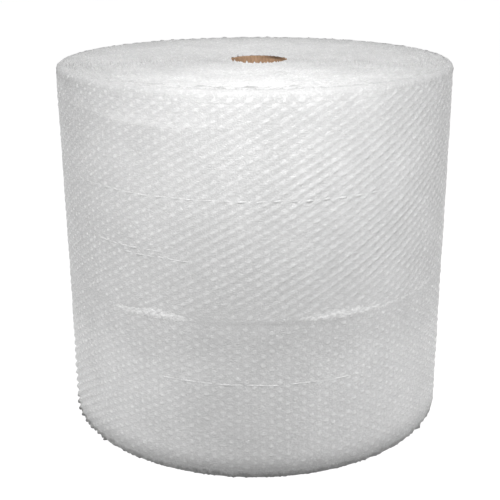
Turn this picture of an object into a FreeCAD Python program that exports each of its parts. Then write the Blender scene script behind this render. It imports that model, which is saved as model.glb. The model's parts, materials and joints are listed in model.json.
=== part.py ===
import FreeCAD, Part
import math
import os

import Sketcher

# Bubble wrap roll, standing on its end.
# Millimetres, +Z up, origin at the centre of the lower end.
# Two pieces: the paperboard core tube, and the film wound on it, whose turns are one solid.

# The driving sizes: name, value and meaning
SIZES = (
    ("web_width", 500, "width of the film and length of the core tube, so the roll's height"),
    ("roll_diameter", 545, "across the lip at the seam, the widest place"),
    ("core_bore", 76.2, "inside diameter of the core tube"),
    ("core_wall", 3, "wall of the core tube"),
    ("core_offset", 5, "how far the core lies off the centre of the roll, along +X"),
    ("core_clearance", 0.1, "gap between the tube and the first turn"),
    ("film_step", 2.3, "thickness of one turn, which is the step at the outer tail"),
    ("tail_angle", 118, "where the outer tail ends, in degrees round from +X"),
    ("column_pitch", 10.4, "spacing of the upright bubble columns round the roll"),
    ("column_depth", 1.5, "how far the bubble columns stand out"),
    ("column_margin", 9, "bare edge beyond the columns at each end"),
    ("column_lap", 0.5, "how far the columns sink into the turns under them"),
    ("shoulder_height", 8, "height of the sloping shoulder at each end"),
    ("shoulder_inset", 6, "how far the shoulder leans in"),
    ("seam_level", 221, "height of the middle of the lip"),
    ("lip_width", 12, "width of the lip, up and down"),
    ("lip_ledge", 0.3, "how far the edges of the lip stand out past the upper columns"),
    ("lip_bulge", 0.9, "how far the crease along the lip stands out past its edges"),
    ("waist_width", 10, "width of the recess below the lip"),
    ("lower_setback", 1, "how much smaller in radius the columns are below the seam"),
    ("end_turns", 5, "groups of turns that show as a spiral on each end"),
    ("end_depth", 4, "depth of the foot of each group's slope, inside the end of the roll"),
    ("end_drop", 0.3, "how far the crowns of the groups lie inside the end of the roll"),
    ("inner_land", 8, "flat band of each end, next to the core"),
    ("rim_land", 8, "flat band of each end, next to the shoulder"),
)

# The sizes that follow from them: name, formula and meaning
DERIVED = (
    ("lip_radius", "roll_diameter / 2 - lip_bulge", "edges of the lip"),
    ("upper_crown", "lip_radius - lip_ledge", "crowns of the columns above the seam"),
    ("lower_crown", "upper_crown - lower_setback", "crowns of the columns below the seam"),
    ("column_count", "round(pi * roll_diameter / column_pitch)", "bubble columns round the roll"),
    ("drum_radius", "lower_crown - column_depth - film_step - column_lap", "turns under the columns"),
    ("core_radius", "core_bore / 2 + core_wall", "outside of the core tube"),
    ("film_bore", "core_radius + core_clearance", "inside of the first turn"),
    ("spiral_start", "film_bore + core_offset + inner_land", "where the spiral begins"),
    ("end_radius", "drum_radius - shoulder_inset", "flat end of the roll"),
    ("spiral_end", "end_radius - rim_land", "where the spiral ends"),
    ("turn_pitch", "(spiral_end - spiral_start) / (end_turns + 0.75)", "spacing of the spiral"),
    ("centre_shift", "turn_pitch / 4", "distance of each half turn's own axis from the roll's"),
    ("lip_top", "seam_level + lip_width / 2", "upper edge of the lip"),
    ("lip_bottom", "seam_level - lip_width / 2", "lower edge of the lip"),
    ("waist_bottom", "lip_bottom - waist_width", "top of the lower columns"),
    ("upper_length", "web_width - column_margin - lip_top", "length of the upper columns"),
    ("lower_length", "waist_bottom - column_margin", "length of the lower columns"),
)

START, END, CENTRE = range(1, 4)
SKETCH_ORIGIN = (-1, START)

doc = FreeCAD.newDocument("bubble_wrap_roll")


def make_sheet():
    """Spreadsheet of the driving sizes and of those that follow from them."""
    table = doc.addObject("Spreadsheet::Sheet", "sizes")
    for row, (name, content, meaning) in enumerate(SIZES + DERIVED, start=1):
        is_formula = isinstance(content, str)
        table.set(f"A{row}", meaning)
        table.set(f"B{row}", f"={content}" if is_formula else str(content))
        table.setAlias(f"B{row}", name)
    doc.recompute()
    return table


def new_body(name):
    """Empty body, whose label names its file."""
    body = doc.addObject("PartDesign::Body", name)
    body.Label = name
    return body


def new_sketch(body, name, plane, height=None):
    """Sketch on one of the body's own origin planes, raised to a height where one is given."""
    sketch = body.newObject("Sketcher::SketchObject", name)
    support = next(item for item in body.Origin.OriginFeatures if item.Role == plane)
    sketch.AttachmentSupport = (support, [""])
    sketch.MapMode = "FlatFace"
    if height:
        sketch.setExpression("AttachmentOffset.Base.z", height)
    return sketch


def hold_size(sketch, kind, *where, formula):
    """Size constraint that follows a formula of the sheet's sizes."""
    index = sketch.addConstraint(Sketcher.Constraint(kind, *where, float(sketch.evalExpression(formula))))
    sketch.setExpression(f"Constraints[{index}]", formula)


def hold_point(sketch, geometry, which, across, up):
    """Fix one point of a sketch element by its distances from the sketch's origin."""
    hold_size(sketch, "DistanceX", *SKETCH_ORIGIN, geometry, which, formula=across)
    hold_size(sketch, "DistanceY", *SKETCH_ORIGIN, geometry, which, formula=up)


def draw_circle(sketch, across, up, radius):
    """Circle whose centre and radius are formulas."""
    centre = FreeCAD.Vector(sketch.evalExpression(across), sketch.evalExpression(up), 0)
    size = float(sketch.evalExpression(radius))
    circle = sketch.addGeometry(Part.Circle(centre, FreeCAD.Vector(0, 0, 1), size), False)
    hold_point(sketch, circle, CENTRE, across, up)
    hold_size(sketch, "Radius", circle, formula=radius)


def draw_outline(sketch, corners):
    """Closed outline of straight sides through corners, each a pair of formulas."""
    points = []
    for across, up in corners:
        points.append(FreeCAD.Vector(sketch.evalExpression(across), sketch.evalExpression(up), 0))
    following = points[1:] + points[:1]
    sides = [sketch.addGeometry(Part.LineSegment(*ends), False) for ends in zip(points, following)]
    for index, side in enumerate(sides):
        sketch.addConstraint(Sketcher.Constraint("Coincident", sides[index - 1], END, side, START))
        hold_point(sketch, side, START, *corners[index])


def draw_axis(sketch, across):
    """Upright construction line, which a groove can turn about."""
    x = float(sketch.evalExpression(across))
    line = Part.LineSegment(FreeCAD.Vector(x, 0, 0), FreeCAD.Vector(x, sizes.web_width, 0))
    axis = sketch.addGeometry(line, True)
    hold_point(sketch, axis, START, across, "0")
    hold_point(sketch, axis, END, across, "sizes.web_width")


def new_feature(body, kind, name, sketch, **sizes_by_formula):
    """Feature made from a sketch, with its sizes tied to formulas."""
    feature = body.newObject(f"PartDesign::{kind}", name)
    feature.Profile = sketch
    for size, formula in sizes_by_formula.items():
        feature.setExpression(size, formula)
    return feature


def make_core_tube():
    """Paperboard tube, cut square at both ends, flush with the film."""
    body = new_body("core_tube")
    section = new_sketch(body, "tube_section", "XY_Plane")
    for radius in ("sizes.core_radius", "sizes.core_bore / 2"):
        draw_circle(section, "sizes.core_offset", "0", radius)
    new_feature(body, "Pad", "tube_wall", section, Length="sizes.web_width")
    return body


def add_drum(body):
    """The wound turns as one revolved section, with sloping shoulders, a waist and the lip above it."""
    profile = new_sketch(body, "drum_profile", "XZ_Plane")
    corners = (
        ("0", "0"),
        ("sizes.end_radius", "0"),
        ("sizes.drum_radius", "sizes.shoulder_height"),
        ("sizes.drum_radius", "sizes.lip_bottom"),
        ("sizes.lip_radius", "sizes.lip_bottom"),
        ("sizes.roll_diameter / 2", "sizes.seam_level"),
        ("sizes.lip_radius", "sizes.lip_top"),
        ("sizes.drum_radius", "sizes.lip_top"),
        ("sizes.drum_radius", "sizes.web_width - sizes.shoulder_height"),
        ("sizes.end_radius", "sizes.web_width"),
        ("0", "sizes.web_width"),
    )
    draw_outline(profile, corners)
    drum = new_feature(body, "Revolution", "drum", profile)
    drum.ReferenceAxis = (profile, ["V_Axis"])
    drum.Angle = 360


def draw_columns(sketch, crown_radius):
    """Outline of the outer turn: a ridge for each bubble column, round to the step at the tail.

    The turn is a spiral, so the radius falls by the thickness of the film on the way round.
    """
    count = int(sizes.column_count)

    def point(column, depth):
        angle = math.radians(sizes.tail_angle) + 2 * math.pi * column / count
        radius = crown_radius - depth - sizes.film_step * column / count
        return FreeCAD.Vector(radius * math.cos(angle), radius * math.sin(angle), 0)

    points = [point(0, sizes.column_depth)]
    for column in range(count):
        points.append(point(column + 0.5, 0))
        points.append(point(column + 1, sizes.column_depth))
    following = points[1:] + points[:1]
    sketch.addGeometry([Part.LineSegment(*ends) for ends in zip(points, following)], False)


def add_columns(body, name, crown_radius, height, length):
    """Sleeve of upright bubble columns round the drum."""
    outline = new_sketch(body, f"{name}_outline", "XY_Plane", height)
    draw_columns(outline, crown_radius)
    new_feature(body, "Pad", name, outline, Length=length)


def cut_core_hole(body):
    """Hole that the first turn leaves round the core tube."""
    circle = new_sketch(body, "core_hole_outline", "XY_Plane", "sizes.web_width")
    draw_circle(circle, "sizes.core_offset", "0", "sizes.film_bore")
    new_feature(body, "Pocket", "core_hole", circle, Length="sizes.web_width")


def cut_end_spiral(body, name, end_level, inwards):
    """Spiral of stepped turns in one end of the roll; inwards is +1 or -1, up or down.

    Two half turns about axes a quarter of the pitch either side of the roll's axis meet as one
    spiral. Both use the same saw-toothed profile: each group of turns has its crown on its inner
    side, and slopes down to the foot of the next.
    """
    crown = f"{end_level} + {inwards} * sizes.end_drop"
    foot = f"{end_level} + {inwards} * sizes.end_depth"
    outside = f"{end_level} - {inwards} * sizes.end_drop"

    def edge(turn):
        return f"sizes.spiral_start + sizes.centre_shift + {turn} * sizes.turn_pitch"

    turns = int(sizes.end_turns)
    teeth = [corner for turn in range(turns) for corner in ((edge(turn), crown), (edge(turn + 1), foot))]
    corners = teeth + [(edge(turns), outside), (edge(0), outside)]
    profile = new_sketch(body, f"{name}_profile", "XZ_Plane")
    draw_outline(profile, corners)
    draw_axis(profile, "sizes.centre_shift")
    draw_axis(profile, "-sizes.centre_shift")
    for half in range(2):
        groove = new_feature(body, "Groove", f"{name}_half_{half + 1}", profile)
        groove.ReferenceAxis = (profile, [f"Axis{half}"])
        groove.Angle = 180
        groove.Reversed = bool(half)


def make_bubble_film():
    """The film: a drum of turns, the bubble columns of the outer turn, the core hole and both ends."""
    body = new_body("bubble_film")
    add_drum(body)
    add_columns(body, "upper_columns", sizes.upper_crown, "sizes.lip_top", "sizes.upper_length")
    add_columns(body, "lower_columns", sizes.lower_crown, "sizes.column_margin", "sizes.lower_length")
    cut_core_hole(body)
    cut_end_spiral(body, "upper_end", "sizes.web_width", inwards=-1)
    cut_end_spiral(body, "lower_end", "0", inwards=1)
    return body


def check_model(bodies):
    """Stop if any object failed, if a cut removed nothing, or if a piece isn't one valid solid."""
    for item in doc.Objects:
        if {"Invalid", "Error"} & set(item.State):
            raise RuntimeError(f"{item.Name} failed: {item.State}")
    for item in doc.Objects:
        cuts = item.TypeId in ("PartDesign::Pocket", "PartDesign::Groove")
        if cuts and not item.Shape.Volume < item.BaseFeature.Shape.Volume:
            raise RuntimeError(f"{item.Name} removes nothing")
    for body in bodies:
        if body.Shape.isNull() or not body.Shape.isValid() or len(body.Shape.Solids) != 1:
            raise RuntimeError(f"{body.Label} isn't one valid solid")


sizes = make_sheet()
pieces = [make_core_tube(), make_bubble_film()]
doc.recompute()
check_model(pieces)

os.makedirs("parts", exist_ok=True)
for piece in pieces:
    piece.Shape.exportStep(f"parts/{piece.Label}.step")
    print(piece.Label, "volume in cubic centimetres:", round(piece.Shape.Volume / 1000, 1))
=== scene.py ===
import json
import math

import bpy
import numpy as np
from mathutils import Matrix, Vector


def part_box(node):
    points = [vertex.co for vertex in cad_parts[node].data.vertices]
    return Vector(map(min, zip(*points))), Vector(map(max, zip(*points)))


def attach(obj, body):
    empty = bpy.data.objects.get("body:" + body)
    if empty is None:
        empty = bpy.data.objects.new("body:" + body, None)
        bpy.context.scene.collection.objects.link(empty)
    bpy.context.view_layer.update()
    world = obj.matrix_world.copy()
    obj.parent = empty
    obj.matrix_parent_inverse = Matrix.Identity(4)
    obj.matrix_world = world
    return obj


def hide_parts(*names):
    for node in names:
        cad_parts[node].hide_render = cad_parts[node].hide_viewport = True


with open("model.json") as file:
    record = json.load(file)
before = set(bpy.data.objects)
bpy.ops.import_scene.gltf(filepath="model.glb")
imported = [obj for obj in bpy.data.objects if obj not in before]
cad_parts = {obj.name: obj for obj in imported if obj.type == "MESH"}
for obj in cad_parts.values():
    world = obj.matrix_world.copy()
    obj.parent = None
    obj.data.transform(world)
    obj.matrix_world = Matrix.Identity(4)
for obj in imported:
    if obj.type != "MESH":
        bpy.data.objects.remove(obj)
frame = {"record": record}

# Looks of the bubble wrap roll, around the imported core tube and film.
# Metres, +Z up, the photograph's camera towards -Y. Angles go round from +X, and -90 is the front.

MM = 0.001
TAU = 2 * math.pi
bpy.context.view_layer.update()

# Places taken from the frame
film_low, film_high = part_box("bubble_film")
core_low, core_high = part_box("core_tube")
HEIGHT = film_high.z - film_low.z
ROLL_RADIUS = (film_high.x - film_low.x) / 2
CORE_X = (core_low.x + core_high.x) / 2
CORE_OUTSIDE = (core_high.x - core_low.x) / 2
CORE_BORE = next(mount for mount in frame["record"]["mounts"] if mount["name"] == "core_bore")
CORE_INSIDE = CORE_BORE["dims"]["r_mm"] * MM

# The wound roll, whose ends are rounded by the two shoulders
CROWN_RADIUS = ROLL_RADIUS + 1.6 * MM
SHOULDER = 8 * MM
LOWER_SHOULDER = 3.5 * MM
LOWER_SETBACK = 0.3 * MM
TURN_THICKNESS = 2.3 * MM
TAIL_ANGLE = math.radians(118)
SEAM_LEVEL = 221 * MM
LOWEST_POINT = 0.2 * MM
HIGHEST_POINT = HEIGHT + 1.5 * MM
SIDE_STEPS = 440
EDGE_STEPS = 1100
FOLD_STEPS = 1300
FOLD_ROWS = 13

# The bubbles stand in columns, which the seam shifts by a share of their spacing
BUBBLE_PITCH = 12 * MM
BUBBLE_HEIGHT = 2.1 * MM
COLUMN_COUNT = 165
LOWER_FIRST_ROW = 4 * MM
UPPER_FIRST_ROW = SEAM_LEVEL + 3 * MM
UPPER_SHIFT = 0.42
UPPER_START = 0.72 * HEIGHT
FOOT_DEPTH = 0.25 * MM
STRETCH_ANGLE = math.radians(30)

# How much single bubbles differ, and the share of them that has gone slack
SIZE_SPREAD = 0.1
RISE_SPREAD = 0.15
SLACK_SHARE = 0.12
PLACE_SPREAD = 0.5 * MM
LEAN_SPREAD = 0.07

# The ends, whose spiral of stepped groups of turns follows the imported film
DISH_DEPTH = 1.4 * MM
VALLEY_DEPTH = 2.8 * MM
GROUP_START = 62.8 * MM
GROUP_PITCH = 34.4 * MM
GROUP_COUNT = 5
GENTLE_DEPTH = 1.3 * MM
SHARP_DEPTH = 2.9 * MM
STEP_WANDER = 3 * MM
RAG_LENGTH = 8 * MM

# The core tube and the spiral of its paper
CORE_STEPS = 112
CORE_CHAMFER = 0.4 * MM
PLY_PITCH = 95 * MM
PLY_EDGE = 0.35 * MM

# Places round the roll, each a middle and a reach in degrees
RIDGED = (-64, 40)
UNRIDGED = (-22, 30)
PINCHED = (-168, 24)
LOOSE_FILM = (-125, 32)
LOOSE_EDGE = (-115, 30)
LIT_RIM = (-85, 65)
RAISED_HEM = (-100, 40)
ROUGH_EDGE = (90, 60)
EDGE_COLUMNS = (-160, 22)
SHARP_STEP = (-99, 34)
SLOT_SHADOW_PLACE = (-99, 30)
TALL_TEETH = (-130, 90)
FOLDED_TEETH = (45, 30)
TEETH_SHADOW = (50, 26)

# Places round the roll that add up, each a strength, a middle and a reach in degrees
SEAM_SAGS = ((9 * MM, -126, 22), (5 * MM, -60, 22))
SEAM_LIPS = ((1, -86, 26), (0.6, 80, 50))
FOLD_PATCHES = (
    (0.95, -117, 9), (0.35, -131, 8), (0.22, -90, 20), (0.95, -66, 9), (0.4, -50, 10), (0.35, -33, 12),
    (0.5, 70, 30),
)
PAINTED_EXTRA_SHINE = ((1.6, -10, 20), (1.0, -165, 24))

# How far up the roll the corners change the shading of the film, and how high and how dark the painted
# shade near the floor is
CORNER_HEIGHT = 36 * MM
PAINTED_FLOOR_SHADE_HEIGHT = 34 * MM
PAINTED_FLOOR_SHADE_TONE = 0.74
PAINTED_BOTTOM_SHADOW_HEIGHT = 9 * MM
PAINTED_BOTTOM_SHADOW_TONE = 0.7

# Painted light and shade on the film, and its random grain. A point whose crown value is 1 is as light as
# the first of these factors, and below 0 it is darker with painted shade.
PAINTED_LIGHT_GLOW = 1.26
PAINTED_RIDGE_LIGHT = 0.35
PAINTED_STEP_LIGHT = 0.9
PAINTED_SLOT_SHADOW = 1.4
RIM_DIM = 0.55
PAINTED_GLINT_GLOW = 1.16
GRAIN_TONE = 0.075

# Painted light and shade at shares of the height: lighter high up, darker around the seam under the fold
PAINTED_LIGHT_BY_HEIGHT = (
    (0.0, 1.0), (0.2, 1.02), (0.3, 1.0), (0.37, 0.92), (0.43, 0.92), (0.5, 0.93), (0.63, 0.97),
    (0.8, 1.05), (0.95, 1.02), (1.0, 0.99),
)

# Unit bubble: share of its radius and of its height, from the foot up, and the size of its painted
# highlight spot
DOME_RINGS = ((1.0, 0.0), (0.72, 0.42), (0.4, 0.83))
DOME_SIDES = 10
PAINTED_SPOT_WIDTH = 1.25
PAINTED_SPOT_HEIGHT = 0.5

# Creases: share of the height, first and last angle in degrees, and strength
CREASES = (
    (0.74, -150, -48, 0.4), (0.60, -139, -113, 1.0), (0.585, -130, -106, 1.0), (0.265, -118, -58, 1.0),
    (0.595, -66, -60, 0.5), (0.80, 20, 75, 0.7), (0.62, 95, 160, 0.7), (0.33, -20, 40, 0.8),
    (0.52, 170, 215, 0.6), (0.15, 60, 130, 0.7),
)

# The photograph's camera, fitted to the outline of the roll
IMAGE_SIZE = 500
FOCAL_PIXELS = 956.3
AXIS_PIXEL_X = 255.7
CAMERA_DISTANCE = 1.343
CAMERA_HEIGHT = 0.6763
CAMERA_PITCH = math.radians(18.815)
CAMERA_ROLL = math.radians(0.24)
SENSOR_WIDTH = 36.0

# Strength of the world on the roll, and of the floor where it is seen, and the floor's tone unseen and seen
WORLD_LIGHT = 0.32
FLOOR_GLOW = 0.9
FLOOR_TONE = 0.15
SEEN_FLOOR_TONE = 0.4
FLOOR_RADIUS = 8


# Mesh helpers

def new_mesh(name, points, faces, material, crown=None):
    """Object made from an array of points and an array of faces that all have as many corners.

    crown is the painted light and shade at each point, for the material: 1 for the painted highlight on a
    bubble's crown, and below 0 for painted shade.
    """
    mesh = bpy.data.meshes.new(name)
    sides = faces.shape[1]
    mesh.vertices.add(len(points))
    mesh.vertices.foreach_set("co", np.asarray(points, np.float32).ravel())
    mesh.loops.add(faces.size)
    mesh.loops.foreach_set("vertex_index", faces.astype(np.int32).ravel())
    mesh.polygons.add(len(faces))
    mesh.polygons.foreach_set("loop_start", np.arange(0, faces.size, sides, dtype=np.int32))
    mesh.update(calc_edges=True)
    mesh.validate()
    mesh.polygons.foreach_set("use_smooth", np.full(len(mesh.polygons), True))
    if crown is not None:
        attribute = mesh.attributes.new("crown", "FLOAT", "POINT")
        attribute.data.foreach_set("value", crown.astype(np.float32).ravel())
    mesh.materials.append(material)
    piece = bpy.data.objects.new(name, mesh)
    bpy.context.scene.collection.objects.link(piece)
    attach(piece, "root")
    return piece


def grid_faces(rows, columns, closed=False):
    """Quads of a grid of points; closed joins the last column to the first."""
    across = columns if closed else columns - 1
    row, column = np.meshgrid(np.arange(rows - 1), np.arange(across), indexing="ij")
    following = (column + 1) % columns
    corners = (row * columns + column, row * columns + following,
               (row + 1) * columns + following, (row + 1) * columns + column)
    return np.stack(corners, axis=-1).reshape(-1, 4)


def cylinder_points(angle, radius, height):
    """Points at an angle and a distance round the roll's axis."""
    parts = np.broadcast_arrays(radius * np.cos(angle), radius * np.sin(angle), height)
    return np.stack(parts, axis=-1).reshape(-1, 3)


def ring_noise(seed, slowest, fastest, count=14, reach=60.0):
    """Smooth noise of about -1 to 1 over the angle round the roll and the height."""
    random = np.random.default_rng(seed)
    turns = random.integers(slowest, fastest + 1, count)
    climb = random.uniform(-reach, reach, count)
    phase = random.uniform(0, TAU, count)

    def noise(angle, height=0.0):
        """Sum of the waves at an angle and a height."""
        waves = [np.cos(k * angle + c * height + p) for k, c, p in zip(turns, climb, phase)]
        return sum(waves) / math.sqrt(2 * count)

    return noise


def smooth_step(value, low, high):
    """Rises smoothly from 0 to 1 between low and high."""
    share = np.clip((value - low) / (high - low), 0, 1)
    return share * share * (3 - 2 * share)


def smooth_band(value, rise, fall):
    """1 between a rise and a fall, each a pair of values that it takes place between."""
    return smooth_step(value, *rise) * (1 - smooth_step(value, *fall))


def near(angle, middle, reach):
    """1 at an angle round the roll and nearly 0 beyond its reach on both sides; both in degrees."""
    distance = np.mod(angle - math.radians(middle) + math.pi, TAU) - math.pi
    return np.exp(-(distance / math.radians(reach)) ** 2)


def near_any(angle, places):
    """Sum over places round the roll, each a strength, a middle and a reach."""
    return sum(strength * near(angle, middle, reach) for strength, middle, reach in places)


def shoulder_size(climb):
    """Radius of the rounding at whichever end is nearer."""
    return np.where(climb > HEIGHT / 2, SHOULDER, LOWER_SHOULDER)


# Materials

class Wiring:
    """Short names for the nodes that the materials share."""

    def __init__(self, name):
        self.material = bpy.data.materials.new(name)
        self.material.use_nodes = True
        self.nodes, self.links = self.material.node_tree.nodes, self.material.node_tree.links
        self.shader = self.nodes["Principled BSDF"]
        self.place = self.nodes.new("ShaderNodeTexCoord").outputs["Object"]

    def put(self, socket, value):
        """Set a socket, or link it where the value is another socket."""
        if isinstance(value, bpy.types.NodeSocket):
            self.links.new(value, socket)
        else:
            socket.default_value = value

    def vector(self, operation, first, second=None, scale=None):
        """Result of a vector operation on values or sockets."""
        node = self.nodes.new("ShaderNodeVectorMath")
        node.operation = operation
        self.put(node.inputs[0], first)
        if second is not None:
            self.put(node.inputs[1], second)
        if scale is not None:
            self.put(node.inputs["Scale"], scale)
        return node.outputs["Vector"]

    def maths(self, operation, first, second=0.0):
        """Result of an operation on two numbers or sockets."""
        node = self.nodes.new("ShaderNodeMath")
        node.operation = operation
        self.put(node.inputs[0], first)
        self.put(node.inputs[1], second)
        return node.outputs[0]

    def span(self, value, low, high, first, last):
        """Value carried from the range low to high over to first to last, and held at the ends."""
        node = self.nodes.new("ShaderNodeMapRange")
        for name, end in zip(("From Min", "From Max", "To Min", "To Max"), (low, high, first, last)):
            node.inputs[name].default_value = end
        self.links.new(value, node.inputs["Value"])
        return node.outputs["Result"]

    def noise(self, scale, detail, stretch=(1, 1, 1)):
        """Noise on the object's own coordinates, each times its stretch."""
        mapping = self.nodes.new("ShaderNodeMapping")
        mapping.inputs["Scale"].default_value = stretch
        self.links.new(self.place, mapping.inputs["Vector"])
        texture = self.nodes.new("ShaderNodeTexNoise")
        texture.inputs["Scale"].default_value = scale
        texture.inputs["Detail"].default_value = detail
        self.links.new(mapping.outputs["Vector"], texture.inputs["Vector"])
        return texture.outputs["Fac"]

    def ramp(self, value, low, high):
        """Colour between two, for a noise that stays mostly between 0.3 and 0.7."""
        blend = self.nodes.new("ShaderNodeValToRGB")
        for end, place, colour in zip(blend.color_ramp.elements, (0.3, 0.7), (low, high)):
            end.position = place
            end.color = (*colour, 1)
        self.links.new(value, blend.inputs["Fac"])
        return blend.outputs["Color"]

    def curve(self, value, stops):
        """Value looked up between stops of (place, tone), with places from 0 to 1."""
        blend = self.nodes.new("ShaderNodeValToRGB")
        elements = blend.color_ramp.elements
        for _ in stops[2:]:
            elements.new(0.5)
        for end, (place, tone) in zip(elements, stops):
            end.position = place
            end.color = (tone, tone, tone, 1)
        self.links.new(value, blend.inputs["Fac"])
        return blend.outputs["Color"]

    def bump(self, height, distance, normal=None):
        """Normal that follows a height, on top of another normal if there is one."""
        node = self.nodes.new("ShaderNodeBump")
        node.inputs["Distance"].default_value = distance
        self.links.new(height, node.inputs["Height"])
        if normal is not None:
            self.links.new(normal, node.inputs["Normal"])
        return node.outputs["Normal"]


def soft_form(wiring, level, softness):
    """Normal between the surface's own and the roll's, whose corners are rounded over some height."""
    top = wiring.span(level, HEIGHT - CORNER_HEIGHT, HEIGHT, 0, 1)
    bottom = wiring.span(level, 0, CORNER_HEIGHT, 1, 0)
    upwards = wiring.maths("MULTIPLY", top, top)
    downwards = wiring.maths("MULTIPLY", bottom, bottom)
    climb = wiring.maths("SUBTRACT", upwards, downwards)
    across = wiring.maths("SQRT", wiring.maths("SUBTRACT", 1.0, wiring.maths("MULTIPLY", climb, climb)))
    outwards = wiring.vector("NORMALIZE", wiring.vector("MULTIPLY", wiring.place, (1, 1, 0)))
    upright = wiring.nodes.new("ShaderNodeCombineXYZ")
    wiring.put(upright.inputs["Z"], climb)
    form = wiring.vector("ADD", wiring.vector("SCALE", outwards, scale=across), upright.outputs["Vector"])
    own = wiring.nodes.new("ShaderNodeNewGeometry").outputs["Normal"]
    mix = wiring.vector("ADD", wiring.vector("SCALE", own, scale=1 - softness),
                        wiring.vector("SCALE", form, scale=softness))
    return wiring.vector("NORMALIZE", mix)


def film_tone(wiring, place):
    """How light the film is: painted light and shade from the crown values, painted glints as specks,
    painted shade near the floor, and fine grain.
    """
    level = place.outputs["Z"]
    # Painted shade near the floor, with a painted shadow in a ragged band at the bottom edge
    ragged = wiring.maths("ADD", level, wiring.span(wiring.noise(80, 4), 0.3, 0.7, -5 * MM, 5 * MM))
    painted_shade = wiring.maths("MULTIPLY", wiring.span(level, 0, PAINTED_FLOOR_SHADE_HEIGHT, PAINTED_FLOOR_SHADE_TONE, 1.0),
                         wiring.span(ragged, 0.5 * PAINTED_BOTTOM_SHADOW_HEIGHT, PAINTED_BOTTOM_SHADOW_HEIGHT, PAINTED_BOTTOM_SHADOW_TONE, 1.0))
    # The crown values carry painted highlights and painted shade
    crown = wiring.nodes.new("ShaderNodeAttribute")
    crown.attribute_name = "crown"
    painted_light = wiring.maths("ADD", 1.0, wiring.maths("MULTIPLY", crown.outputs["Fac"], PAINTED_LIGHT_GLOW - 1))
    # Painted glints as pale specks, and a random grain, both stronger towards the roll's sides
    painted_glints = wiring.span(wiring.noise(380, 2), 0.57, 0.7, 0.0, PAINTED_GLINT_GLOW - 1)
    grains = wiring.span(wiring.noise(430, 3, (0.55, 0.55, 1.6)), 0.3, 0.7, -GRAIN_TONE, GRAIN_TONE)
    sideways = wiring.maths("ABSOLUTE", place.outputs["X"])
    aside = wiring.span(sideways, 0.68 * ROLL_RADIUS, ROLL_RADIUS, 1.0, 2.4)
    texture = wiring.maths("MULTIPLY", wiring.maths("ADD", painted_glints, grains), aside)
    return wiring.maths("MULTIPLY", painted_shade, wiring.maths("ADD", painted_light, texture))


def film_material(name, dark, pale, roughness, grain, softness=0.0, coat=0.0):
    """Milky polyethylene film: pale, slightly mottled, with fine wrinkles and uneven gloss.

    Light spreads inside the film, so softness turns the shading of its forms towards the roll's
    own, and only the gloss of the coat keeps their full relief.
    """
    wiring = Wiring(name)
    film = wiring.shader
    film.inputs["Coat Weight"].default_value = coat
    film.inputs["Coat Roughness"].default_value = 0.12
    film.inputs["Specular IOR Level"].default_value = 0.3
    place = wiring.nodes.new("ShaderNodeSeparateXYZ")
    wiring.put(place.inputs[0], wiring.place)
    level = place.outputs["Z"]
    mottle = wiring.ramp(wiring.noise(22, 5), (dark,) * 3, (pale,) * 3)
    # Painted light and shade by height
    painted_height_light = wiring.curve(wiring.maths("DIVIDE", level, HEIGHT), PAINTED_LIGHT_BY_HEIGHT)
    colour = wiring.vector("MULTIPLY", mottle, painted_height_light)
    wiring.put(film.inputs["Base Color"], wiring.vector("SCALE", colour, scale=film_tone(wiring, place)))
    wiring.put(film.inputs["Roughness"],
               wiring.span(wiring.noise(60, 3), 0, 1, roughness * 0.7, roughness * 1.4))
    wrinkles = wiring.noise(460, 3, (1, 1, 1.5))
    soft = soft_form(wiring, level, softness) if softness else None
    wiring.put(film.inputs["Normal"], wiring.bump(wrinkles, grain * MM, soft))
    wiring.put(film.inputs["Coat Normal"], wiring.bump(wrinkles, 1.3 * grain * MM))
    return wiring.material


def paperboard_material(name):
    """Kraft paperboard with fibres, with a painted shadow where the crown value falls below 0."""
    wiring = Wiring(name)
    board = wiring.shader
    board.inputs["Specular IOR Level"].default_value = 0.25
    fibres = wiring.noise(420, 6, (1, 1, 0.35))
    tone = wiring.ramp(fibres, (0.52, 0.335, 0.21), (0.73, 0.495, 0.325))
    under = wiring.nodes.new("ShaderNodeAttribute")
    under.attribute_name = "crown"
    painted_shade = wiring.span(under.outputs["Fac"], -1, 0, 0.35, 1.0)
    wiring.put(board.inputs["Base Color"], wiring.vector("SCALE", tone, scale=painted_shade))
    wiring.put(board.inputs["Roughness"], wiring.span(fibres, 0, 1, 0.75, 0.95))
    wiring.put(board.inputs["Normal"], wiring.bump(fibres, 0.15 * MM))
    return wiring.material


FILM = film_material("film_turns", dark=0.79, pale=0.86, roughness=0.5, grain=0.7,
                     softness=0.65, coat=0.25)
RIMS = film_material("film_rims", dark=0.78, pale=0.87, roughness=0.5, grain=0.9,
                     softness=0.5, coat=0.25)
FOLDS = film_material("film_folds", dark=0.87, pale=0.95, roughness=0.35, grain=0.8,
                      softness=0.35, coat=0.4)
EDGES = film_material("film_edges", dark=0.85, pale=0.95, roughness=0.5, grain=0.9,
                      coat=0.3)
BUBBLES = film_material("film_bubbles", dark=0.79, pale=0.86, roughness=0.4, grain=0.6,
                        softness=0.7, coat=0.6)
PAPERBOARD = paperboard_material("kraft_paperboard")


# The side of the roll, with slow unevenness from a few noises

seam_wobble = ring_noise(2, 3, 40)
seam_patches = ring_noise(5, 2, 9)
slow_waves = ring_noise(3, 1, 7, reach=25)
level_waves = ring_noise(4, 1, 3, reach=110)
ridge_patches = ring_noise(6, 3, 14, reach=60)


def spiral_share(angle):
    """How far round from the tail: 0 at the tail's edge, nearly 1 just before it."""
    return np.mod(angle - TAIL_ANGLE, TAU) / TAU


def column_place(angle, shift):
    """Place round the roll counted in bubble columns, a whole number at a column's middle."""
    return (angle - TAIL_ANGLE) / TAU * COLUMN_COUNT - 0.5 - shift


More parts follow.
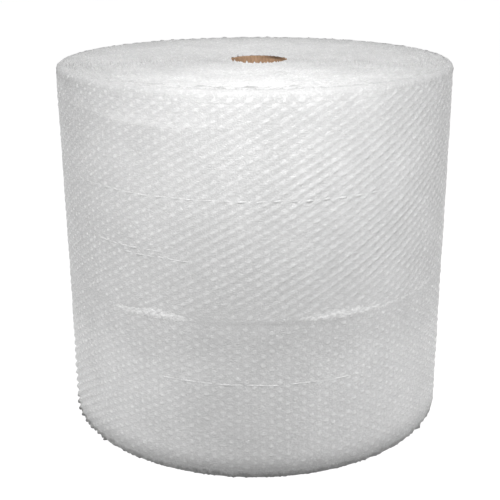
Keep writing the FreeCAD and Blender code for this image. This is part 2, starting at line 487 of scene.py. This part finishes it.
def end_fade(z):
    """Falls from 1 to a little near the roll's ends, where the film is drawn flat."""
    return 0.3 + 0.7 * smooth_step(np.minimum(z, HEIGHT - z), 3 * MM, 17 * MM)


def crown_radius(angle, z, share):
    """Radius of the bubbles' crowns."""
    radius = CROWN_RADIUS - TURN_THICKNESS * share
    radius = radius - LOWER_SETBACK * (1 - smooth_step(z, SEAM_LEVEL - 30 * MM, SEAM_LEVEL - 3 * MM))
    return radius + 0.4 * MM * slow_waves(angle, z) + 0.3 * MM * level_waves(angle, z)


def seam_height(angle):
    """Level of the seam round the roll, which sags at both sides of the front."""
    return SEAM_LEVEL + 1.3 * MM * seam_wobble(angle) - near_any(angle, SEAM_SAGS)


def seam_profile(angle, z):
    """Radial offset of the film near the seam: a low lip over a shallow recess."""
    level = z - seam_height(angle)
    lip_height = (0.5 + 0.4 * seam_patches(angle)) * MM
    lip = lip_height * smooth_band(level, (-6 * MM, -1 * MM), (1 * MM, 9 * MM))
    recess = -0.6 * MM * smooth_band(level, (-20 * MM, -9 * MM), (-8 * MM, -3 * MM))
    return near_any(angle, SEAM_LIPS) * (lip + recess)


def upper_step(angle, z):
    """Radial offset of the loose film below the upper end, which stops at a soft edge on the left."""
    edge = 0.905 * HEIGHT + 2 * MM * seam_wobble(angle) + 16 * MM * (1 - near(angle, *LOOSE_EDGE))
    return 0.6 * MM * near(angle, *LOOSE_FILM) * smooth_step(z - edge, -1.5 * MM, 1.5 * MM)


def painted_step_light(angle, z):
    """Painted light on the loose film just above that edge."""
    return PAINTED_STEP_LIGHT * upper_step(angle, z) / MM * (1 - smooth_step(z, 0.91 * HEIGHT, 0.965 * HEIGHT))


def ridge_share(angle, z):
    """Share of their height that the ridges have: less at the top, at the seam and low on the right."""
    top = 1 - 0.6 * smooth_step(z, 0.82 * HEIGHT, 0.95 * HEIGHT)
    seam = 0.2 + 0.8 * smooth_step(z, SEAM_LEVEL, SEAM_LEVEL + 80 * MM)
    low = 1 - smooth_step(z, SEAM_LEVEL + 60 * MM, SEAM_LEVEL + 170 * MM)
    return near(angle, *RIDGED) * top * seam * (1 - 0.75 * near(angle, *UNRIDGED) * low)


def bubble_ridges(angle, z):
    """Radial offset of the film pulled from bubble to bubble, in diagonals that rise to the right.

    Below the seam it is only pinched between the bubbles at the lower left.
    """
    upper = (z - UPPER_FIRST_ROW) / BUBBLE_PITCH - column_place(angle, UPPER_SHIFT) / 2
    lower = (z - LOWER_FIRST_ROW) / BUBBLE_PITCH - column_place(angle, 0) / 2
    height = (0.14 + 0.5 * ridge_share(angle, z)) * (1 + 0.4 * ridge_patches(angle, z)) * MM
    ridges = end_fade(z) * height * np.cos(TAU * upper)
    pinch = 1.3 * MM * near(angle, *PINCHED) * (1 - smooth_step(z, 40 * MM, 120 * MM))
    above = smooth_step(z, SEAM_LEVEL, SEAM_LEVEL + 15 * MM)
    return above * ridges + (1 - above) * pinch * np.cos(TAU * lower)


def film_radius(angle, z, share=None):
    """Radius of the film between the bubbles."""
    share = spiral_share(angle) if share is None else share
    relief = seam_profile(angle, z) + upper_step(angle, z) + bubble_ridges(angle, z)
    return crown_radius(angle, z, share) - BUBBLE_HEIGHT + relief


def film_surface(angle, climb, outwards=0.0, share=None):
    """Points on the side. climb is the height, and past each shoulder's start the way over its round."""
    shoulder = shoulder_size(climb)
    upper = np.clip((climb - (HEIGHT - SHOULDER)) / SHOULDER, 0, math.pi / 2)
    lower = np.clip((LOWER_SHOULDER - climb) / LOWER_SHOULDER, 0, math.pi / 2)
    bend = upper - lower
    over = np.clip(np.abs(climb - HEIGHT / 2) - (HEIGHT / 2 + shoulder * (math.pi / 2 - 1)), 0, None)
    z = np.clip(climb, LOWER_SHOULDER, HEIGHT - SHOULDER)
    inwards = shoulder * (1 - np.cos(bend)) + over
    radius = film_radius(angle, z, share) - inwards + outwards * np.cos(bend)
    level = z + (shoulder + outwards) * np.sin(bend)
    return cylinder_points(angle, radius, np.clip(level, LOWEST_POINT, HIGHEST_POINT))


def add_film_side():
    """The outer turn between its rounded edges, and under them as far as they reach."""
    # Rows of points between two levels, closest together at the seam
    zones = (
        (-3 * MM, LOWER_SHOULDER, 5),
        (LOWER_SHOULDER, SEAM_LEVEL - 22 * MM, 62),
        (SEAM_LEVEL - 22 * MM, SEAM_LEVEL + 10 * MM, 22),
        (SEAM_LEVEL + 10 * MM, HEIGHT - SHOULDER, 120),
    )
    rows = [np.linspace(low, high, count, endpoint=False) for low, high, count in zones]
    rows.append(np.linspace(HEIGHT - SHOULDER, HEIGHT + 3 * MM, 6))
    climb = np.concatenate(rows)[:, None]
    share = np.linspace(0, 1, SIDE_STEPS + 1)[None]
    beyond = np.abs(climb - HEIGHT / 2) - (HEIGHT / 2 - shoulder_size(climb))
    tuck = -1.6 * MM * smooth_step(beyond, -2 * MM, 3 * MM)
    angle = TAIL_ANGLE + TAU * share
    points = film_surface(angle, climb, tuck, share)
    # Painted light on the ridge crests and painted shade in their valleys above the seam, and painted light
    # above the loose edge
    ridge = bubble_ridges(angle, climb) / MM * (climb > SEAM_LEVEL)
    painted_light = PAINTED_RIDGE_LIGHT * ridge + painted_step_light(angle, climb)
    faces = grid_faces(len(climb), share.size, closed=True)
    return new_mesh("film_side", points, faces, FILM, crown=painted_light)


def rim_dim(angle):
    """How much darker an end's rim is, away from the light at the front."""
    return RIM_DIM * (1 - near(angle, *LIT_RIM))


def lower_edge_forms(angle, along, hem, coarse, jag):
    """Radial offset of the bubble columns and the torn points that show at the lower edge."""
    columns = 1.8 * MM * near(angle, *EDGE_COLUMNS) * np.cos(TAU * column_place(angle, 0))
    spikes = 3 * MM * np.clip(jag(angle) - 0.85, 0, 1) + 2 * MM * np.clip(coarse(angle) - 1, 0, 1)
    return (columns + spikes) * smooth_band(along, (-3 * MM, 1 * MM), (hem - 4 * MM, hem))


def add_film_edge(name, upper, seed):
    """Crinkled edge of the outer turn, rounded into one end of the roll, with a ragged hem."""
    fine = ring_noise(seed, 120, 480, count=30, reach=700)
    coarse = ring_noise(seed + 1, 30, 120, count=20, reach=300)
    jag = ring_noise(seed + 2, 60, 420, count=30)
    share = np.linspace(0, 1, EDGE_STEPS + 1)[None]
    angle = TAIL_ANGLE + TAU * share
    shoulder = SHOULDER if upper else LOWER_SHOULDER
    hem = shoulder * math.pi / 2
    along = np.append(np.linspace(-9 * MM, hem, 13), hem + 0.5 * MM)[:, None]
    loose = smooth_step(along, -9 * MM, 4 * MM)
    run = along + 1.1 * MM * jag(angle) * smooth_step(along, hem - 7.5 * MM, hem - 0.5 * MM)
    coarse_share, fine_share = (0.6 + 0.4 * near(angle, *ROUGH_EDGE), 0.5) if upper else (0.9, 0.8)
    crinkle = coarse_share * coarse(angle, along) + fine_share * fine(angle, along)
    outwards = crinkle * MM * loose + 0.15 * MM
    # The last row but one is the hem, and the first and the last tuck the edge in
    outwards[-2] += (0.5 + 0.6 * near(angle[0], *RAISED_HEM)) * MM * np.clip(jag(angle[0]), 0, 1.2)
    if not upper:
        outwards = outwards + lower_edge_forms(angle, along, hem, coarse, jag)
    outwards[0] = -0.5 * MM
    outwards[-1] = -VALLEY_DEPTH - 1 * MM
    climb = HEIGHT - shoulder + run if upper else shoulder - run
    points = film_surface(angle, climb, outwards, share)
    faces = grid_faces(len(along), share.size, closed=True)
    # Painted shade on the upper rim, away from the light at the front
    painted_shade = -rim_dim(angle) * loose * upper
    return new_mesh(name, points, faces if upper else faces[:, ::-1], RIMS, crown=painted_shade)


side_pieces = [
    add_film_side(),
    add_film_edge("film_edge_upper", upper=True, seed=60),
    add_film_edge("film_edge_lower", upper=False, seed=70),
]


# The bubbles

def dome_template():
    """Unit dome: points (across, up, out) and triangles."""
    turn = np.arange(DOME_SIDES) * TAU / DOME_SIDES
    rings = [np.stack((reach * np.cos(turn), reach * np.sin(turn), np.full(DOME_SIDES, rise)), -1)
             for reach, rise in DOME_RINGS]
    points = np.concatenate(rings + [[[0, 0, 1]]])
    triangles = []
    for ring in range(len(DOME_RINGS) - 1):
        for k in range(DOME_SIDES):
            a, b = ring * DOME_SIDES + k, ring * DOME_SIDES + (k + 1) % DOME_SIDES
            triangles += [(a, b, b + DOME_SIDES), (a, b + DOME_SIDES, a + DOME_SIDES)]
    last, crown = (len(DOME_RINGS) - 1) * DOME_SIDES, len(points) - 1
    triangles += [(last + k, last + (k + 1) % DOME_SIDES, crown) for k in range(DOME_SIDES)]
    return points, np.array(triangles)


def bubble_lattice(first_row, low, high, shift):
    """Staggered columns of bubbles between two levels, one row of (angle, level) each."""
    lowest = math.floor((low - first_row) / BUBBLE_PITCH)
    highest = math.ceil((high - first_row) / BUBBLE_PITCH)
    rows = first_row + np.arange(lowest, highest + 1) * BUBBLE_PITCH
    column, level = np.meshgrid(np.arange(COLUMN_COUNT), rows)
    level = level + (column % 2) * BUBBLE_PITCH / 2
    angle = TAIL_ANGLE + TAU * (column + 0.5 + shift) / COLUMN_COUNT
    inside = (level > low) & (level < high)
    return np.stack((angle[inside], level[inside]), -1)


def add_bubbles(name, lattice, radius, stretch, height, painted_light, seed):
    """Domes on the film, some of them slack, each with a painted highlight spot on its crown. stretch draws
    those on the ridges out along the diagonal.
    """
    random = np.random.default_rng(seed)
    count = len(lattice)
    points, triangles = dome_template()
    middle, level = lattice[:, :1], lattice[:, 1:]
    ridged = near(middle, *RIDGED)
    along = radius * random.normal(1, SIZE_SPREAD, (count, 1)) * (1 + stretch * ridged)
    across = radius * random.normal(1, SIZE_SPREAD, (count, 1))
    rise = height * random.normal(1, RISE_SPREAD, (count, 1))
    rise = rise * np.where(random.random((count, 1)) < SLACK_SHARE, 0.5, 1)
    diagonal = STRETCH_ANGLE * min(stretch, 1)
    right, up = points[:, 0] * along, points[:, 1] * across
    sideways = right * math.cos(diagonal) - up * math.sin(diagonal)
    upwards = right * math.sin(diagonal) + up * math.cos(diagonal)
    tilt = random.normal(0, LEAN_SPREAD, (count, 2, 1))
    lean = tilt[:, 0] * sideways + tilt[:, 1] * upwards
    outwards = points[:, 2] * (rise + lean) * end_fade(level) - FOOT_DEPTH
    angle = middle + (random.normal(0, PLACE_SPREAD, (count, 1)) + sideways) / ROLL_RADIUS
    climb = level + random.normal(0, PLACE_SPREAD, (count, 1)) + upwards
    faces = (triangles[None] + (np.arange(count) * len(points))[:, None, None]).reshape(-1, 3)
    # Painted highlight: a pale spot on each bubble's crown, stronger at some places round the roll, plus
    # the painted light above the loose edge
    painted_spot = np.clip(1.1 - np.hypot(points[:, 0] / PAINTED_SPOT_WIDTH, points[:, 1] / PAINTED_SPOT_HEIGHT), 0, 1)
    pale = painted_light * random.uniform(0.45, 1.0, (count, 1)) * (1 - 0.3 * ridged * min(stretch, 1)) * painted_spot
    pale = pale * (1 + near_any(middle, PAINTED_EXTRA_SHINE)) + painted_step_light(middle, level)
    return new_mesh(name, film_surface(angle, climb, outwards), faces, BUBBLES, crown=pale)


below = bubble_lattice(LOWER_FIRST_ROW, 2 * MM, SEAM_LEVEL - 7 * MM, 0)
above = bubble_lattice(UPPER_FIRST_ROW, SEAM_LEVEL + 1.5 * MM, HEIGHT - 2 * MM, UPPER_SHIFT)
is_middle = above[:, 1] < UPPER_START
upper_shape = {"radius": 4.2 * MM, "stretch": 0.75, "height": 0.95 * MM}
bubble_pieces = [
    add_bubbles("bubbles_lower", below, radius=4.4 * MM, stretch=0, height=1.3 * MM, painted_light=0.9, seed=11),
    add_bubbles("bubbles_middle", above[is_middle], **upper_shape, painted_light=1.1, seed=12),
    add_bubbles("bubbles_upper", above[~is_middle], **upper_shape, painted_light=0.95, seed=13),
]


# The crinkled fold of film at the seam

def add_seam_fold():
    """Crumpled band of film over the seam, thickest in patches, with painted highlights along its crest and
    painted shade at its feet.
    """
    fine = ring_noise(7, 150, 620, count=40, reach=900)
    coarse = ring_noise(8, 40, 160, count=24, reach=500)
    crinkles = ring_noise(10, 20, 240, count=30, reach=2200)
    jag = ring_noise(9, 60, 420, count=30)
    angle = (np.arange(FOLD_STEPS) * TAU / FOLD_STEPS)[:, None]
    share = np.linspace(0, 1, FOLD_ROWS)[None]
    patch = np.clip(near_any(angle, FOLD_PATCHES) + 0.12 * seam_patches(angle), 0.02, 1)
    low = -2 * MM - 3 * MM * patch * (1 + 0.9 * jag(angle))
    high = 3 * MM + 9 * MM * patch * (1 + 0.3 * coarse(angle + 1))
    climb = seam_height(angle) + low + (high - low) * share
    swell = np.sin(math.pi * share) ** 0.7
    crumple = 0.5 * fine(angle, climb) + 0.5 * coarse(angle, climb) + 0.6 * crinkles(angle, climb)
    outwards = ((0.5 + (1.3 + crumple) * patch) * swell - (1.1 - 0.5 * patch)) * MM
    points = film_surface(np.broadcast_to(angle, climb.shape), climb, outwards)
    # Painted highlights along the crest of the fold and painted shade at its feet
    painted_fold_highlights = patch * np.clip(0.6 + 1.1 * crinkles(angle, climb), 0, 1.6) * swell ** 2
    tone = painted_fold_highlights - 0.45 * (1 - swell)
    faces = grid_faces(FOLD_STEPS + 1, FOLD_ROWS) % len(points)
    return new_mesh("seam_fold", points, faces, FOLDS, crown=tone)


# Thin creases where the outer film is folded

def add_crease(name, share, start, finish, strength, seed):
    """Thin raised fold of film at a share of the height, between two angles in degrees."""
    wander, flicker = ring_noise(seed, 4, 30), ring_noise(seed + 100, 30, 130)
    angle = np.arange(math.radians(start), math.radians(finish), 1.5 * MM / ROLL_RADIUS)[:, None]
    ends = np.minimum(angle - angle[0], angle[-1] - angle) * ROLL_RADIUS
    fold = np.clip(ends / (15 * MM), 0, 1) * np.clip(0.65 + 0.7 * flicker(angle), 0, 1)
    # Four points across the fold: its feet inside the film and the two sides of its crest
    across = np.array([-0.9, -0.25, 0.25, 0.9]) * MM
    lift = np.array([-0.9, 0.5, 0.4, -0.9]) * MM
    climb = share * HEIGHT + 0.6 * MM * wander(angle) + across * (0.5 + fold)
    outwards = 0.3 * BUBBLE_HEIGHT + lift * fold * strength + 0.8 * MM * (fold - 1)
    points = film_surface(np.broadcast_to(angle, climb.shape), climb, outwards)
    return new_mesh(name, points, grid_faces(len(angle), len(across)), FOLDS)


fold_pieces = [add_seam_fold()]
for number, crease in enumerate(CREASES, start=1):
    fold_pieces.append(add_crease(f"crease_{number}", *crease, seed=40 + number))


# The ends of the roll: the edges of a hundred turns

def spiral_turn(angle):
    """Share of a turn of the spiral of steps, from -0.5 to 0.5."""
    return np.mod(angle + math.pi, TAU) / TAU - 0.5


def end_depth(angle, radius, wander):
    """How far the turns lie inside the end: stepped groups in a spiral, and a dish at the core.

    The outermost step is the sharpest at the front.
    """
    place = (radius + STEP_WANDER * wander(angle) - GROUP_START) / GROUP_PITCH + spiral_turn(angle)
    group = np.mod(place, 1)
    within = smooth_step(place, 0, 0.15) * (place < GROUP_COUNT)
    front = near(angle, *SHARP_STEP) * (place > GROUP_COUNT - 1)
    sharp = SHARP_DEPTH * group * (1 - smooth_step(group, 0.93, 1.0))
    gentle = GENTLE_DEPTH * group * (1 - smooth_step(group, 0.7, 1.0))
    steps = (gentle * (1 - front) + sharp * front) * within
    dish = DISH_DEPTH * (1 - smooth_step(radius, CORE_OUTSIDE, CORE_OUTSIDE + 60 * MM))
    return steps + dish


def painted_end_shade(angle, radius, finish, wander, seed):
    """How much darker the turns are: a painted shadow in the slot of the step at the front, and painted
    shade towards the rim.
    """
    wall = GROUP_START + GROUP_PITCH * (GROUP_COUNT - spiral_turn(angle)) - STEP_WANDER * wander(angle)
    slot = PAINTED_SLOT_SHADOW * near(angle, *SLOT_SHADOW_PLACE) * np.exp(-((radius - wall - 2 * MM) / (3.2 * MM)) ** 2)
    broken = np.clip(0.9 + 0.7 * ring_noise(seed, 20, 90)(angle), 0, 1)
    return slot * broken + rim_dim(angle) * smooth_step(radius, finish - 70 * MM, finish)


def add_end_turns(name, level, outwards, spacing, seed):
    """Ridged spiral strip from the core to the side; outwards is the way the end faces."""
    random = np.random.default_rng(seed)
    upper = outwards > 0
    start = CORE_OUTSIDE + 0.6 * MM
    finish = CROWN_RADIUS - BUBBLE_HEIGHT - (SHOULDER if upper else LOWER_SHOULDER) + 0.6 * MM
    length = math.pi * (finish ** 2 - start ** 2) / TURN_THICKNESS
    radius = np.sqrt(np.linspace(start ** 2, finish ** 2, int(length / spacing)))
    angle = TAIL_ANGLE + TAU * (finish - radius) / TURN_THICKNESS
    ripple = 0.35 * MM * np.cos(0.5 * COLUMN_COUNT * angle * radius / finish)
    knots = np.linspace(0, len(radius), int(length / RAG_LENGTH))
    rag = np.interp(np.arange(len(radius)), knots, random.normal(0, 0.9 * MM, len(knots)))
    mottle = ring_noise(seed, 4, 60, count=40, reach=700)(angle, radius) * 1.1 * MM
    settle = 1 - smooth_step(radius, finish - 8 * MM, finish)
    crest = np.clip(0.9 * MM - rag - mottle, -0.8 * MM if upper else 0.1 * MM, VALLEY_DEPTH) * settle
    wander = ring_noise(seed + 5, 3, 45)
    offset = CORE_X * (1 - (radius - start) / (finish - start))
    # Four lines along each turn: a valley, the two sides of the crest and the next valley
    rails = []
    for across, is_crest in ((-0.55, 0), (-0.1, 1), (0.1, 1), (0.55, 0)):
        rail = radius + across * TURN_THICKNESS + ripple
        sunk = end_depth(angle, rail, wander) + (crest if is_crest else VALLEY_DEPTH)
        centre = np.stack((offset, 0 * offset, level - outwards * sunk), -1)
        rails.append(cylinder_points(angle, rail, 0) + centre)
    points = np.stack(rails, 1).reshape(-1, 3)
    # Painted shadow in the slot and painted shade towards the rim
    painted_shade = -np.repeat(painted_end_shade(angle, radius, finish, wander, seed + 6), len(rails))
    faces = grid_faces(len(radius), len(rails))
    return new_mesh(name, points, faces if upper else faces[:, ::-1], EDGES, crown=painted_shade)


def add_ragged_edge(name):
    """Torn inner edges of the first turns, standing over the rim of the core tube."""
    teeth, lean = ring_noise(31, 20, 75, count=30), ring_noise(32, 10, 60, count=24)
    angle = np.linspace(0, TAU, 420)[:, None]
    tooth = np.clip(0.8 + 2.6 * teeth(angle), 0, 4.0) * (0.35 + 0.65 * near(angle, *TALL_TEETH)) * MM
    inwards = np.clip(1 + 1.6 * lean(angle), 0, 3) * MM + 2.5 * MM * near(angle, *FOLDED_TEETH)
    # Four points from the film under the first turns to the rim and over it to a tooth's tip
    reach = np.array([3.5, 0.4, 0, 0]) * MM - np.array([0, 0, 0.6, 1]) * inwards
    level = HEIGHT - DISH_DEPTH + np.array([-2.5, 0, 0, 0]) * MM + np.array([0, 0.2, 1, 0.8]) * tooth
    points = cylinder_points(angle, CORE_OUTSIDE + reach, level) + (CORE_X, 0, 0)
    return new_mesh(name, points, grid_faces(len(angle), 4)[:, ::-1], EDGES)


end_pieces = [
    add_end_turns("end_turns_upper", HEIGHT, 1, spacing=3.4 * MM, seed=21),
    add_end_turns("end_turns_lower", 0, -1, spacing=6 * MM, seed=22),
    add_ragged_edge("ragged_edge"),
]

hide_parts("bubble_film")


# The core tube

def add_core_tube():
    """Paperboard tube with the low edge of its spiral-wound ply inside, and a painted shadow under the torn
    film.
    """
    top, low = HEIGHT - DISH_DEPTH, DISH_DEPTH
    highest, lowest = top - CORE_CHAMFER, low + CORE_CHAMFER
    levels = np.append(np.linspace(highest, top - 12 * MM, 12, endpoint=False),
                       np.linspace(top - 12 * MM, lowest, 118))
    # Section of the wall as (radius, level): down the inside and up the outside
    wall = [(CORE_INSIDE, z) for z in levels]
    wall += [(CORE_INSIDE + CORE_CHAMFER, low), (CORE_OUTSIDE - CORE_CHAMFER, low)]
    wall += [(CORE_OUTSIDE, z) for z in np.linspace(lowest, highest, 20)]
    wall += [(CORE_OUTSIDE - CORE_CHAMFER, top), (CORE_INSIDE + CORE_CHAMFER, top)]
    wall.append(wall[0])
    radius, level = (np.array(side)[:, None] for side in zip(*wall))
    angle = np.arange(CORE_STEPS)[None] * TAU / CORE_STEPS
    ply = np.mod(level / PLY_PITCH - angle / TAU, 1)
    inside = radius < (CORE_INSIDE + CORE_OUTSIDE) / 2
    radius = radius + np.where(inside, PLY_EDGE * ply ** 6, 0)
    points = cylinder_points(angle, radius, level) + (CORE_X, 0, 0)
    # Painted shadow on the inside under the folded teeth of the torn film
    under = -near(angle, *TEETH_SHADOW) * (1 - smooth_step(top - level, 2 * MM, 4.5 * MM))
    faces = grid_faces(len(wall), CORE_STEPS, closed=True)
    tube = new_mesh("paperboard_core", points, faces, PAPERBOARD, crown=under)
    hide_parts("core_tube")


add_core_tube()


# Floor, background and lamps

def camera_sees_white(tree):
    """Socket that is 1 for rays that should meet the white background."""
    path = tree.nodes.new("ShaderNodeLightPath")
    last = path.outputs["Is Camera Ray"]
    for ray in ("Is Glossy Ray", "Is Transmission Ray"):
        either = tree.nodes.new("ShaderNodeMath")
        either.operation = "MAXIMUM"
        tree.links.new(last, either.inputs[0])
        tree.links.new(path.outputs[ray], either.inputs[1])
        last = either.outputs[0]
    return last


def add_floor():
    """Pale floor that the camera sees as white, with the roll's shadow."""
    material = bpy.data.materials.new("white_floor")
    material.use_nodes = True
    tree = material.node_tree
    tree.nodes.clear()
    paint = tree.nodes.new("ShaderNodeBsdfDiffuse")
    tone = tree.nodes.new("ShaderNodeMapRange")
    tone.inputs["To Min"].default_value = FLOOR_TONE
    tone.inputs["To Max"].default_value = SEEN_FLOOR_TONE
    tree.links.new(camera_sees_white(tree), tone.inputs["Value"])
    tree.links.new(tone.outputs["Result"], paint.inputs["Color"])
    lift = tree.nodes.new("ShaderNodeEmission")
    strength = tree.nodes.new("ShaderNodeMath")
    strength.operation = "MULTIPLY"
    strength.inputs[1].default_value = FLOOR_GLOW
    tree.links.new(camera_sees_white(tree), strength.inputs[0])
    tree.links.new(strength.outputs[0], lift.inputs["Strength"])
    both = tree.nodes.new("ShaderNodeAddShader")
    tree.links.new(paint.outputs[0], both.inputs[0])
    tree.links.new(lift.outputs[0], both.inputs[1])
    output = tree.nodes.new("ShaderNodeOutputMaterial")
    tree.links.new(both.outputs[0], output.inputs["Surface"])
    under = (0, 0, -0.2 * MM)
    bpy.ops.mesh.primitive_circle_add(vertices=96, radius=FLOOR_RADIUS, fill_type="NGON", location=under)
    floor = bpy.context.object
    floor.name = "floor"
    floor.data.materials.append(material)


def set_world():
    """Soft white surroundings, at full white where the camera looks past the roll."""
    world = bpy.data.worlds.new("studio")
    bpy.context.scene.world = world
    world.use_nodes = True
    tree = world.node_tree
    light = tree.nodes["Background"]
    light.inputs["Color"].default_value = (1, 1, 1, 1)
    strength = tree.nodes.new("ShaderNodeMapRange")
    strength.inputs["To Min"].default_value = WORLD_LIGHT
    strength.inputs["To Max"].default_value = 1.0
    tree.links.new(camera_sees_white(tree), strength.inputs["Value"])
    tree.links.new(strength.outputs["Result"], light.inputs["Strength"])


def add_lamp(name, place, target, size, power):
    """Square soft light at a place, pointing at a target."""
    data = bpy.data.lights.new(name, "AREA")
    data.size = size
    data.energy = power
    lamp = bpy.data.objects.new(name, data)
    bpy.context.scene.collection.objects.link(lamp)
    away = Vector(place) - Vector(target)
    lamp.matrix_world = Matrix.Translation(place) @ away.to_track_quat("Z", "Y").to_matrix().to_4x4()


add_floor()
set_world()
add_lamp("softbox", (0.05, -0.92, 1.15), (0, -0.15, 0.45), size=0.5, power=3.5)
add_lamp("overhead", (0, 0.2, 1.7), (0, 0.1, 0.5), size=1.2, power=3.1)
add_lamp("front", (0, -0.8, 0.78), (0, -0.27, 0.45), size=0.35, power=2.0)
for side in (-1, 1):
    add_lamp("side_panel", (1.25 * side, -0.3, 0.1), (0, 0, 0.05), size=0.6, power=2.95)
    add_lamp("low_panel", (0.5 * side, -0.45, 0.04), (0, 0, 0.04), size=0.3, power=0.45)


# Camera

def add_camera():
    """The photograph's camera, looking along +Y and down."""
    data = bpy.data.cameras.new("camera")
    data.sensor_width = SENSOR_WIDTH
    data.lens = FOCAL_PIXELS * SENSOR_WIDTH / IMAGE_SIZE
    data.shift_x = -(AXIS_PIXEL_X - IMAGE_SIZE / 2) / IMAGE_SIZE
    camera = bpy.data.objects.new("camera", data)
    bpy.context.scene.collection.objects.link(camera)
    place = Matrix.Translation((0, -CAMERA_DISTANCE, CAMERA_HEIGHT))
    tilt = Matrix.Rotation(math.pi / 2 - CAMERA_PITCH, 4, "X")
    camera.matrix_world = place @ tilt @ Matrix.Rotation(-CAMERA_ROLL, 4, "Z")
    bpy.context.scene.camera = camera


add_camera()
bpy.context.scene.view_settings.view_transform = "Standard"
